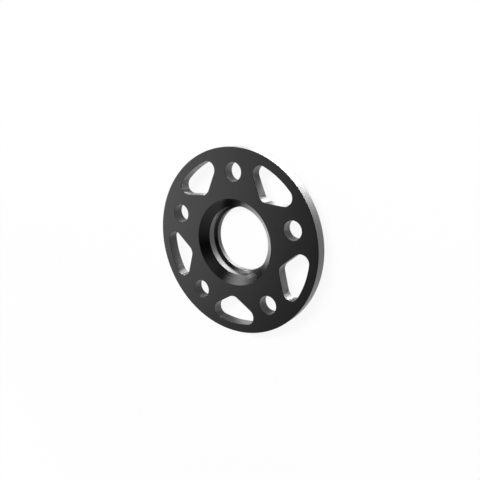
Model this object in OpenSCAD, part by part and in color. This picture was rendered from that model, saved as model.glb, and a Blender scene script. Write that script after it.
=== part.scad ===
// Hub-centric wheel spacer, turned and milled from one piece of aluminium.
// It lies with its hub side up: the axis is +Z, the wheel lip's end is at z = 0,
// and one bolt hole is on +Y.

/* [Disc] */
// Outside diameter of the disc
outer_diameter = 150; // [146:0.5:180]
// Thickness of the disc, from wheel face to hub face
thickness = 9.4; // [8:0.1:15]
// Break on the disc's outside corners, the bolt holes and the windows
edge_break = 0.2; // [0.1:0.05:0.5]

/* [Bolt pattern] */
// Number of bolt holes, with one window between each two
bolt_count = 5; // [4:1:6]
// Diameter of the circle that the bolt holes lie on
bolt_circle = 112; // [108:0.1:116]
// Diameter of a bolt hole
bolt_hole = 15; // [12:0.1:17]

/* [Windows] */
// Solid band between the windows and the outside of the disc
rim_band = 7.2; // [5:0.1:10]
// Metal between a window's corner and the nearest bolt hole
bolt_web = 10.5; // [7:0.1:13]
// Metal between a window's tip and the hub ring inside it
tip_wall = 9.9; // [6:0.1:13]
// Radius of a window's three corners
corner_radius = 6.8; // [5:0.1:8]

/* [Hub bore] */
// Diameter of the bore that seats on the car's hub
hub_bore = 57.1; // [54:0.1:60]
// Size of the 45 degree lead-in at the mouth of the bore
lead_in = 6.5; // [4:0.1:8]
// Length of the bore's straight wall
bore_land = 6.2; // [4:0.1:8]
// Size of the 45 degree step from the hub bore in to the lip's own bore
bore_step = 2.2; // [1:0.1:4]

/* [Wheel lip] */
// Outside diameter of the lip that centres the wheel
lip_diameter = 66.5; // [63:0.1:76]
// Length of the lip beyond the wheel face
lip_length = 9.8; // [8:0.1:14]
// Size of the 45 degree lead at the lip's outer end
lip_lead = 1.2; // [0.5:0.1:2]
// Size of the 45 degree root between the lip and the wheel face
lip_root = 0.5; // [0.2:0.1:1]

/* [Hidden] */
// Heights of the two faces
wheel_face = lip_length;
hub_face = wheel_face + thickness;

// Radii of the turned surfaces
outer_r = outer_diameter / 2;
hub_r = hub_bore / 2;
mouth_r = hub_r + lead_in;
lip_r = lip_diameter / 2;
lip_bore_r = hub_r - bore_step;

// Heights of the steps inside the bore, counted down from the hub face
land_top = hub_face - lead_in;
land_end = land_top - bore_land;
step_end = land_end - bore_step;

// Bolt holes
bolt_r = bolt_hole / 2;
bolt_ring = bolt_circle / 2;
pitch = 360 / bolt_count;
first_bolt = 90;

// A window is a rounded triangle on +X: two corners near the rim, and a tip towards the hub
window_rim_r = outer_r - rim_band;
corner_ring = window_rim_r - corner_radius;
tip_ring = max(mouth_r, lip_r + lip_root) + tip_wall + corner_radius;

// Angle at the axis between a bolt hole and the corner next to it, from the web between them
corner_to_bolt = corner_radius + bolt_web + bolt_r;
corner_turn = acos((corner_ring ^ 2 + bolt_ring ^ 2 - corner_to_bolt ^ 2) / (2 * corner_ring * bolt_ring));
half_window = pitch / 2 - corner_turn;

// Centres of the tip and of one corner, and the straight side that joins their arcs
tip = [tip_ring, 0];
corner = corner_ring * [cos(half_window), sin(half_window)];
side = corner - tip;
side_turn = atan2(side.y, side.x);

// The corner arcs stand this much proud of the walls, so that they cross and don't graze them
blend = 0.002;
// Reach of a corner's trim, in corner radii, past the sharp corner
trim_reach = 5;

// How far the cutters run past the two faces
overrun = 1;
cut_low = wheel_face - overrun;
cut_high = hub_face + overrun;
flare = edge_break + overrun;

$fn = 128;

// Half section of the turned blank, from the lip's end up the outside and down through the bore
function blank_section() = [
    [lip_bore_r + edge_break, 0],
    [lip_r - lip_lead, 0],
    [lip_r, lip_lead],
    [lip_r, wheel_face - lip_root],
    [lip_r + lip_root, wheel_face],
    [outer_r - edge_break, wheel_face],
    [outer_r, wheel_face + edge_break],
    [outer_r, hub_face - edge_break],
    [outer_r - edge_break, hub_face],
    [mouth_r, hub_face],
    [hub_r, land_top],
    [hub_r, land_end],
    [lip_bore_r, step_end],
    [lip_bore_r, edge_break]
];

// Half section of a cut through the disc, from a line at near out to a wall at far,
// with the wall broken at both faces
function cut_section(near, far) = [
    [near, cut_low],
    [far + flare, cut_low],
    [far, wheel_face + edge_break],
    [far, hub_face - edge_break],
    [far + flare, cut_high],
    [near, cut_high]
];

module turned_blank() {
    rotate_extrude() polygon(blank_section());
}

module bolt_hole_cut() {
    translate([bolt_ring, 0, 0])
        rotate_extrude() polygon(cut_section(0, bolt_r));
}

// One straight side of a window: the slab of everything on the window's side of that wall
module side_slab() {
    translate(tip)
        rotate(side_turn)
            rotate([90, 0, 90])
                linear_extrude(2 * outer_r, center = true)
                    polygon(cut_section(-outer_r, corner_radius));
}

// What rounding takes off one sharp corner of a window: the wedge between the directions
// in which the corner's arc meets its two sides, less the round itself
module corner_trim(centre, from, to) {
    reach = trim_reach * corner_radius;
    translate(centre)
        difference() {
            translate([0, 0, cut_low])
                linear_extrude(cut_high - cut_low)
                    polygon([[0, 0], for (a = [from, (from + to) / 2, to]) reach * [cos(a), sin(a)]]);
            rotate_extrude() polygon(cut_section(0, corner_radius + blend));
        }
}

module window_cut() {
    side_normal = side_turn + 90;
    difference() {
        intersection() {
            rotate_extrude() polygon(cut_section(0, window_rim_r));
            side_slab();
            mirror([0, 1, 0]) side_slab();
        }
        corner_trim(tip, side_normal, 360 - side_normal);
        corner_trim(corner, half_window, side_normal);
        mirror([0, 1, 0]) corner_trim(corner, half_window, side_normal);
    }
}

module spacer() {
    color("#1d1e20")
        difference() {
            turned_blank();
            for (i = [0 : bolt_count - 1])
                rotate(first_bolt + i * pitch) {
                    bolt_hole_cut();
                    rotate(pitch / 2) window_cut();
                }
        }
}

spacer();
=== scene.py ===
# %% [markdown]
# # A wheel spacer in black anodised aluminium
# A wheel spacer is a flat disc that sits between a car's hub and its wheel. This one is turned
# and milled from one piece of aluminium and then anodised black. The solid comes ready from the
# CAD step, so this lesson is about showing it well: a camera, a finish, a floor and lamps.

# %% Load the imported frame
import math

import bmesh
import bpy
from mathutils import Matrix, Vector


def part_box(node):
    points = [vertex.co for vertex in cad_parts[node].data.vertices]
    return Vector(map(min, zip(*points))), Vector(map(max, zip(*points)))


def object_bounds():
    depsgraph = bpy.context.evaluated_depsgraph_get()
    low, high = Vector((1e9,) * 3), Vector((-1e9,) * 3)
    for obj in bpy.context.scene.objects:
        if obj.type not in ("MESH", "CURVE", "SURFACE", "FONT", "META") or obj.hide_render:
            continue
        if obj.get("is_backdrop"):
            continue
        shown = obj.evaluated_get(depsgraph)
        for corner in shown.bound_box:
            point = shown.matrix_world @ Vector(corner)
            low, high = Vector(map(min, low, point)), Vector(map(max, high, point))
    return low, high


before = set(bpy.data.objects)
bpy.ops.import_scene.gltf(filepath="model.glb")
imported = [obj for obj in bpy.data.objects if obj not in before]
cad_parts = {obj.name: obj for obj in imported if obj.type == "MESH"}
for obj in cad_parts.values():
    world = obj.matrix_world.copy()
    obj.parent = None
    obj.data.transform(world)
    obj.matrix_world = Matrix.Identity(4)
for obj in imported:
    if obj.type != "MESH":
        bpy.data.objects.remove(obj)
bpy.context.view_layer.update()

MM = 0.001
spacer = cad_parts["spacer"]
hub_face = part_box("spacer")[1].z
print("spacer:", len(spacer.data.polygons), "triangles")
print("hub face at", round(hub_face / MM, 2), "mm")

# %% [markdown]
# ## Directions
# The camera and the lamps stand round the part, so their places are easiest to give as a photographer
# would: how far round, how far up, and how far away. Two small functions turn that into a place and
# an aim. A tracking constraint would aim them too, but it keeps the world's Z upright, and in the
# photograph the upright is the part's Y.

# %% Directions round the part


def towards(azimuth, elevation):
    """The unit vector from the part to a place round it, in degrees: azimuth 0 is -Y, 90 is +X."""
    turn, rise = math.radians(azimuth), math.radians(elevation)
    level = math.cos(rise)
    return Vector((math.sin(turn) * level, -math.cos(turn) * level, math.sin(rise)))


def aimed(place, target, upright):
    """The matrix of a camera or lamp at place that looks at target, with upright up in its view."""
    back = (place - target).normalized()
    right = upright.cross(back).normalized()
    turn = Matrix((right, back.cross(right), back)).transposed()
    return Matrix.Translation(place) @ turn.to_4x4()


print("azimuth 90, elevation 30 is", [round(v, 3) for v in towards(90, 30)])

# %% [markdown]
# ## The camera
# The photograph shows the disc standing on its rim. A real one falls over, so here it lies on its
# lip with the hub side up, and the camera looks down on it at the angle that the photograph has to
# the disc. That angle was worked out from the ellipses that the part's circles make in the picture.
# Lens and sensor are in millimetres.

# %% Camera at the photograph's angle
CAMERA_AZIMUTH, CAMERA_ELEVATION = 114.93, 52.39
CAMERA_DISTANCE = 416.7 * MM
PICTURE_MIDDLE = Vector((6.75 * MM, 3.23 * MM, hub_face))
LENS, SENSOR = 40, 36

scene = bpy.context.scene
scene.view_settings.view_transform = "Standard"
eye = PICTURE_MIDDLE + CAMERA_DISTANCE * towards(CAMERA_AZIMUTH, CAMERA_ELEVATION)
lens = bpy.data.cameras.new("camera")
lens.lens, lens.sensor_width = LENS, SENSOR
camera = bpy.data.objects.new("camera", lens)
camera.matrix_world = aimed(eye, PICTURE_MIDDLE, Vector((0, 1, 0)))
scene.collection.objects.link(camera)
scene.camera = camera
print("camera at", [round(v / MM, 1) for v in eye], "mm")

# %% [markdown]
# ## Helpers for materials
# Colours are written as sRGB hex values, as a colour picker shows them, and shaders need them
# linear. A material is a graph of nodes, so one small function adds a node, sets its options, and
# fills or links its sockets. That keeps each recipe below about as short as its description.

# %% Colour and node helpers


def linear(colour):
    """An sRGB hex colour, such as "#f0f0f0", as linear red, green and blue, and alpha 1."""
    # The sRGB curve is straight near black and a power above that.
    parts = [int(colour[i:i + 2], 16) / 255 for i in (1, 3, 5)]
    return [p / 12.92 if p <= 0.04045 else ((p + 0.055) / 1.055) ** 2.4 for p in parts] + [1.0]


def add(tree, kind, sockets=(), **options):
    """Adds a node. Sockets are pairs of a name or number and a value, and an output is linked."""
    node = tree.nodes.new("ShaderNode" + kind)
    for option, value in options.items():
        setattr(node, option, value)
    for socket, value in sockets:
        if isinstance(value, bpy.types.NodeSocket):
            tree.links.new(value, node.inputs[socket])
        else:
            node.inputs[socket].default_value = value
    return node


def new_material(name):
    """A node material with nothing in it, and its tree."""
    material = bpy.data.materials.new(name)
    material.use_nodes = True
    material.node_tree.nodes.clear()
    return material, material.node_tree


print("mid grey #808080 is", round(linear("#808080")[0], 3), "in linear light")

# %% [markdown]
# ## Black anodised aluminium: where the tool ran
# The blank is faced and bored on a lathe, so the faces and cones carry fine lines round the axis.
# The upright walls are cut by the side of a tool, and their lines run level round each wall. Both
# are one idea: lines that repeat along one length. On a face or cone that length is the distance
# from the axis, and on a wall it is the height, so the slope of the surface picks between them.

# %% Length across the tool's lines
WALL_SLOPE = 0.5

finish, tree = new_material("black_anodised_aluminium")
place = add(tree, "TexCoord")
xyz = add(tree, "SeparateXYZ", [(0, place.outputs["Object"])])
flat = add(tree, "VectorMath", [(0, place.outputs["Object"]), (1, (1, 1, 0))], operation="MULTIPLY")
radius = add(tree, "VectorMath", [(0, flat.outputs[0])], operation="LENGTH")
lean = add(tree, "SeparateXYZ", [(0, place.outputs["Normal"])])
slope = add(tree, "Math", [(0, lean.outputs["Z"])], operation="ABSOLUTE")
is_wall = add(tree, "Math", [(0, slope.outputs[0]), (1, WALL_SLOPE)], operation="LESS_THAN")
across = add(tree, "Mix", [("Factor", is_wall.outputs[0]), ("A", radius.outputs["Value"]),
                           ("B", xyz.outputs["Z"])])
print("finish so far:", len(tree.nodes), "nodes")

# %% [markdown]
# ## Lines and grain
# A finishing cut leaves a line every 0.1 to 0.2 mm, a quarter of a pixel here, so the lines are
# drawn 1.1 mm wide, as coarse as they need to be to show, and deeper in the same measure. The etch
# before anodising adds an even satin grain of about 0.1 mm, which is drawn at 0.5 mm for the same
# reason. A wave would make lines too, but they would look printed. A noise on one number gives
# uneven lines, as a tool does.

# %% Lines and grain
LINE_WIDTH, LINE_DEPTH = 1.1 * MM, 0.035 * MM
GRAIN_WIDTH, GRAIN_DEPTH = 0.5 * MM, 0.01 * MM
LINE_LAYERS, GRAIN_LAYERS = 2.0, 1.0

lines = add(tree, "TexNoise", [("W", across.outputs[0]), ("Scale", 1 / LINE_WIDTH),
                               ("Detail", LINE_LAYERS)], noise_dimensions="1D")
grain = add(tree, "TexNoise", [("Vector", place.outputs["Object"]), ("Scale", 1 / GRAIN_WIDTH),
                               ("Detail", GRAIN_LAYERS)])
line_bump = add(tree, "Bump", [("Distance", LINE_DEPTH), ("Height", lines.outputs["Fac"])])
bump = add(tree, "Bump", [("Distance", GRAIN_DEPTH), ("Height", grain.outputs["Fac"]),
                          ("Normal", line_bump.outputs[0])])
print("lines of", LINE_WIDTH / MM, "mm and grain of", GRAIN_WIDTH / MM, "mm")

# %% [markdown]
# ## Metal, dye and oxide
# Anodising grows a hard, clear layer of aluminium oxide on the metal, and a black dye fills its
# pores. So the eye gets two gleams: a faint one from the metal, dimmed by the dye, and one from the
# top of the oxide, which is weak from above and strong at a shallow angle. A black plastic would
# have only the second. The shader has both: a dark metal, which keeps the default IOR, with the
# oxide as its coat. Clear aluminium oxide has an IOR of about 1.77.

# %% Metal, dye and oxide
DYE_PATCH = 20 * MM
DARK_DYE, PALE_DYE = linear("#3b3b3d"), linear("#434345")
METAL_SMOOTH, METAL_SATIN = 0.18, 0.26
OXIDE_IOR, OXIDE_ROUGHNESS = 1.77, 0.14

patches = add(tree, "TexNoise", [("Vector", place.outputs["Object"]), ("Scale", 1 / DYE_PATCH)])
dye = add(tree, "Mix", [("Factor", patches.outputs["Fac"]), ("A", DARK_DYE), ("B", PALE_DYE)],
          data_type="RGBA")
satin = add(tree, "MapRange", [("Value", lines.outputs["Fac"]), ("To Min", METAL_SMOOTH),
                               ("To Max", METAL_SATIN)])
body = add(tree, "BsdfPrincipled", [
    ("Base Color", dye.outputs["Result"]), ("Metallic", 1.0), ("Roughness", satin.outputs[0]),
    ("Normal", bump.outputs[0]), ("Coat Weight", 1.0), ("Coat IOR", OXIDE_IOR),
    ("Coat Roughness", OXIDE_ROUGHNESS), ("Coat Normal", bump.outputs[0]),
])
add(tree, "OutputMaterial", [("Surface", body.outputs[0])])

spacer.data.materials.clear()
spacer.data.materials.append(finish)
print("finish:", finish.name, "with", len(tree.nodes), "nodes")

# %% [markdown]
# ## White that only some rays see
# A floor looks white only under much light, and that light would also wash out the part. So most of
# the floor's white is a glow of strength 1 for the camera's own rays. Rays that reach the floor by a
# mirror or through glass see it too, and this helper tells the two kinds apart.

# %% Rays that see the white
WHITE = linear("#ffffff")


def seen(tree):
    """1 for rays from the camera, and 1 for those that come by a mirror or through glass."""
    ray = add(tree, "LightPath").outputs
    followed = add(tree, "Math", [(0, ray["Is Glossy Ray"]), (1, ray["Is Transmission Ray"])],
                   operation="MAXIMUM")
    return ray["Is Camera Ray"], followed.outputs[0]


print("white is", WHITE[0], "in linear light, so a glow of strength 1 is white")

# %% [markdown]
# ## Floor
# A studio lays a large sheet of card under a small part. A curved sweep would hide the card's far
# edge, but here the card can simply fade to white there, so one flat square is enough. It is marked
# as stage, because it is not part of the object.

# %% Sheet of card
FLOOR_SIZE = 6.0

sheet = bmesh.new()
bmesh.ops.create_grid(sheet, x_segments=1, y_segments=1, size=FLOOR_SIZE / 2)
floor_mesh = bpy.data.meshes.new("floor")
sheet.to_mesh(floor_mesh)
sheet.free()
floor = bpy.data.objects.new("floor", floor_mesh)
scene.collection.objects.link(floor)
floor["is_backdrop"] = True
print("floor:", FLOOR_SIZE, "m across")

# %% [markdown]
# ## Pearl card
# Pearl card is white card with a thin layer of mica flakes. The eye gets a matt white from most
# sides, and a soft mirror where a lamp stands across from it. The upright walls of the holes mirror
# only the floor, so this soft mirror is what carries the key's light into them. A matt card would
# light all walls alike. Mirrored rays get less of the glow, so that those lights show. The
# camera's own rays skip the mica, because its shine would wash out the part's shadow. Away from
# the part the card fades to pure white, so that no line shows where it meets the backdrop.

# %% Pearl card
CARD_WHITE, MICA_WHITE = linear("#f8f8f8"), linear("#f0f0f0")
GLOW_SHARE, MIRRORED_GLOW = 0.92, 0.33
MICA_ROUGHNESS = 0.4
SHADOW_REACH, WHITE_FROM = 0.12, 0.6

card, tree = new_material("white_pearl_card")
by_camera, by_mirror = seen(tree)
white = add(tree, "Math", [(0, by_mirror), (1, MIRRORED_GLOW), (2, by_camera)],
            operation="MULTIPLY_ADD")
glow = add(tree, "Emission", [("Color", WHITE), ("Strength", white.outputs[0])])
matt = add(tree, "BsdfDiffuse", [("Color", CARD_WHITE)])
away = add(tree, "VectorMath", [(0, add(tree, "TexCoord").outputs["Object"])], operation="LENGTH")
share = add(tree, "MapRange", [("Value", away.outputs["Value"]), ("From Min", SHADOW_REACH),
                               ("From Max", WHITE_FROM), ("To Min", GLOW_SHARE), ("To Max", 1.0)],
            interpolation_type="SMOOTHSTEP")
paper = add(tree, "MixShader", [(0, share.outputs[0]), (1, matt.outputs[0]), (2, glow.outputs[0])])
mica = add(tree, "BsdfGlossy", [("Color", MICA_WHITE), ("Roughness", MICA_ROUGHNESS)])
pearl = add(tree, "AddShader", [(0, paper.outputs[0]), (1, mica.outputs[0])])
surface = add(tree, "MixShader", [(0, by_camera), (1, pearl.outputs[0]), (2, paper.outputs[0])])
add(tree, "OutputMaterial", [("Surface", surface.outputs[0])])
floor_mesh.materials.append(card)
print("floor of", card.name, "with", len(tree.nodes), "nodes")

# %% [markdown]
# ## Surroundings
# A studio with a white backdrop low down and darkness above. The camera sees only white behind the
# floor. The part mirrors what is above it, and a dark room is what keeps a black face black. The
# room is a little less dark on the side of -Y, which draws the upper half of the bore's mouth.

# %% Surroundings
BACKDROP_ELEVATION = 3
BACKDROP_TOP = math.sin(math.radians(BACKDROP_ELEVATION))
DARK_SIDE, DIM_SIDE = 0.01, 0.2

world = bpy.data.worlds.new("studio")
world.use_nodes = True
tree = world.node_tree
tree.nodes.clear()
by_camera, by_mirror = seen(tree)
way = add(tree, "SeparateXYZ", [(0, add(tree, "TexCoord").outputs["Generated"])])
room = add(tree, "MapRange", [("Value", way.outputs["Y"]), ("From Min", 0.0), ("From Max", -1.0),
                              ("To Min", DARK_SIDE), ("To Max", DIM_SIDE)])
backdrop = add(tree, "MapRange", [("Value", way.outputs["Z"]), ("From Min", BACKDROP_TOP),
                                  ("From Max", 0.0)], interpolation_type="SMOOTHSTEP")
mirrored = add(tree, "Math", [(0, by_mirror), (1, backdrop.outputs[0])], operation="MULTIPLY")
white = add(tree, "Math", [(0, by_camera), (1, mirrored.outputs[0])], operation="MAXIMUM")
strength = add(tree, "MapRange", [("Value", white.outputs[0]), ("To Min", room.outputs[0]),
                                  ("To Max", 1.0)])
sky = add(tree, "Background", [("Color", WHITE), ("Strength", strength.outputs[0])])
add(tree, "OutputWorld", [("Surface", sky.outputs[0])])
scene.world = world
print("room from", DARK_SIDE, "to", DIM_SIDE, "of white")

# %% [markdown]
# ## A softbox
# A dark mirror shows its lamps more than their light, so each lamp's shape matters. A softbox with a
# hard edge would draw that edge on the cones. Here each one fades from its middle to its edge, by
# the place on the lamp, and its place and size are angles as the part sees them. Its brightness is
# given as a share of white, and the watts follow from that and from its area.

# %% One softbox
LAMP_DISTANCE = 1.5
PART_MIDDLE = Vector((0, 0, hub_face))


def softbox(name, azimuth, elevation, wide, tall, brightness):
    """An area lamp that fades towards its edge and is aimed at the part. Angles are in degrees."""
    width, height = (2 * LAMP_DISTANCE * math.tan(math.radians(angle / 2)) for angle in (wide, tall))
    lamp = bpy.data.lights.new(name, "AREA")
    lamp.shape, lamp.size, lamp.size_y = "ELLIPSE", width, height
    area = math.pi / 4 * width * height
    lamp.energy = math.pi * area * brightness
    lamp.use_nodes = True
    tree = lamp.node_tree
    tree.nodes.clear()
    spot = add(tree, "VectorMath", [(0, add(tree, "NewGeometry").outputs["Parametric"]),
                                    (1, (2, 2, 0)), (2, (-1, -1, 0))], operation="MULTIPLY_ADD")
    reach = add(tree, "VectorMath", [(0, spot.outputs[0])], operation="LENGTH")
    fade = add(tree, "MapRange", [("Value", reach.outputs["Value"]), ("From Min", 1.0),
                                  ("From Max", 0.0)], interpolation_type="SMOOTHSTEP")
    shine = add(tree, "Emission", [("Strength", fade.outputs[0])])
    add(tree, "OutputLight", [("Surface", shine.outputs[0])])
    piece = bpy.data.objects.new(name, lamp)
    stand = PART_MIDDLE + LAMP_DISTANCE * towards(azimuth, elevation)
    piece.matrix_world = aimed(stand, PART_MIDDLE, Vector((0, 0, 1)))
    piece.visible_camera = False
    scene.collection.objects.link(piece)
    return piece


print("softboxes stand", LAMP_DISTANCE, "m from the part")

# %% [markdown]
# ## Lamps
# The key is high over +Y, where neither the face nor the cones mirror it to the camera, so the black
# stays black. It gives nearly all the light, and by way of the card it brightens the walls that
# face +Y. The side panel stands across from the camera, where the face mirrors its fading edge: that
# is the slow change from grey to black over the face. The low strip is mirrored in the cone at the
# bore's mouth.

# %% Lamps
lamps = [
    softbox("key", azimuth=180, elevation=62, wide=52, tall=13, brightness=64.0),
    softbox("low_strip", azimuth=218, elevation=14, wide=92, tall=46, brightness=1.6),
    softbox("side_panel", azimuth=276, elevation=34, wide=76, tall=76, brightness=0.7),
]
for lamp in lamps:
    print(lamp.name, round(lamp.data.energy, 1), "W at", [round(v, 2) for v in lamp.location], "m")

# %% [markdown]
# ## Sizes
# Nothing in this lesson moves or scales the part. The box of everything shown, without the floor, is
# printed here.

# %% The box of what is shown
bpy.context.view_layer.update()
low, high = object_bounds()
print("box:", [round(v / MM, 2) for v in high - low], "mm")
